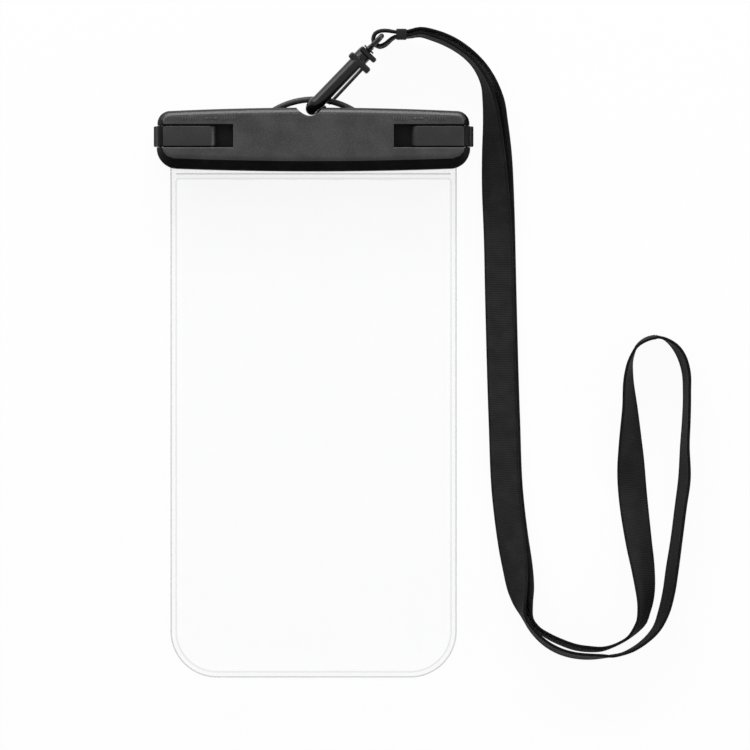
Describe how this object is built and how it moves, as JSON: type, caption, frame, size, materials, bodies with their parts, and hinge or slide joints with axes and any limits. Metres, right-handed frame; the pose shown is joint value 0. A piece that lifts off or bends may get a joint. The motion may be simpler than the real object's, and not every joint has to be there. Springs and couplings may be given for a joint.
{
  "type": "waterproof phone case",
  "caption": "Clear film pouch closed by a black snap clamp with a lever at each end, and a flat woven neck strap on a swivelling snap hook.",
  "frame": {"origin": "middle of the bounding box of bag and clamp without the lanyard, on the surface that the case lies on", "axes": "+Z out of the front face, up as the case lies on its back; +Y from the bag's closed end towards the clamp; +X towards the side where the strap lies"},
  "size_m": [0.1854, 0.2242, 0.017],
  "materials": {
    "clamp_plastic": "black, fine grained, satin",
    "hook_plastic": "black, smooth",
    "strap": "black woven ribbon",
    "clear_film": "clear soft film",
    "seal": "dark grey silicone",
    "pin_steel": "bright"
  },
  "bodies": {
    "pouch": {"rear_shell": "clamp_plastic", "rear_clamp_plate": "clamp_plastic", "rear_seal": "seal", "back_sheet": "clear_film", "front_sheet": "clear_film"},
    "front_clamp": {"front_shell": "clamp_plastic", "front_clamp_plate": "clamp_plastic", "front_seal": "seal", "front_sheet_neck": "clear_film", "left_lever_pin": "pin_steel", "right_lever_pin": "pin_steel"},
    "left_latch": {"left_lever": "clamp_plastic"},
    "right_latch": {"right_lever": "clamp_plastic"},
    "hook": {"hook_body": "hook_plastic", "hook_gate_pin": "pin_steel"},
    "gate": {"hook_gate": "hook_plastic"},
    "swivel": {"swivel_eye": "hook_plastic", "strap_eye_loop": "strap", "strap_crimp": "hook_plastic", "strap_outer_strand": "strap", "strap_inner_strand": "strap"}
  },
  "joints": [
    {"name": "front_open", "type": "hinge", "parent": "pouch", "child": "front_clamp", "pos_m": [0, 0.0744, 0.01065], "axis": [1, 0, 0], "range_deg": [0, 95]},
    {"name": "left_lever_open", "type": "hinge", "parent": "front_clamp", "child": "left_latch", "pos_m": [-0.053, 0.08645, 0.0035], "axis": [0, -1, 0], "range_deg": [0, 60]},
    {"name": "right_lever_open", "type": "hinge", "parent": "front_clamp", "child": "right_latch", "pos_m": [0.053, 0.08645, 0.0035], "axis": [0, 1, 0], "range_deg": [0, 60]},
    {"name": "hook_swing", "type": "hinge", "parent": "pouch", "child": "hook", "pos_m": [0, 0.09925, 0.0057], "axis": [1, 0, 0], "range_deg": [-20, 30]},
    {"name": "gate_open", "type": "hinge", "parent": "hook", "child": "gate", "pos_m": [0.01727, 0.11042, 0.0021], "axis": [-0.7193, 0.6947, 0], "range_deg": [0, 8.5], "stiffness_Nm_per_rad": 0.004, "springref_deg": -8.59},
    {"name": "swivel_turn", "type": "hinge", "parent": "hook", "child": "swivel", "pos_m": [0.01869, 0.11607, 0.0071], "axis": [0.6947, 0.7193, 0], "continuous": true}
  ]
}
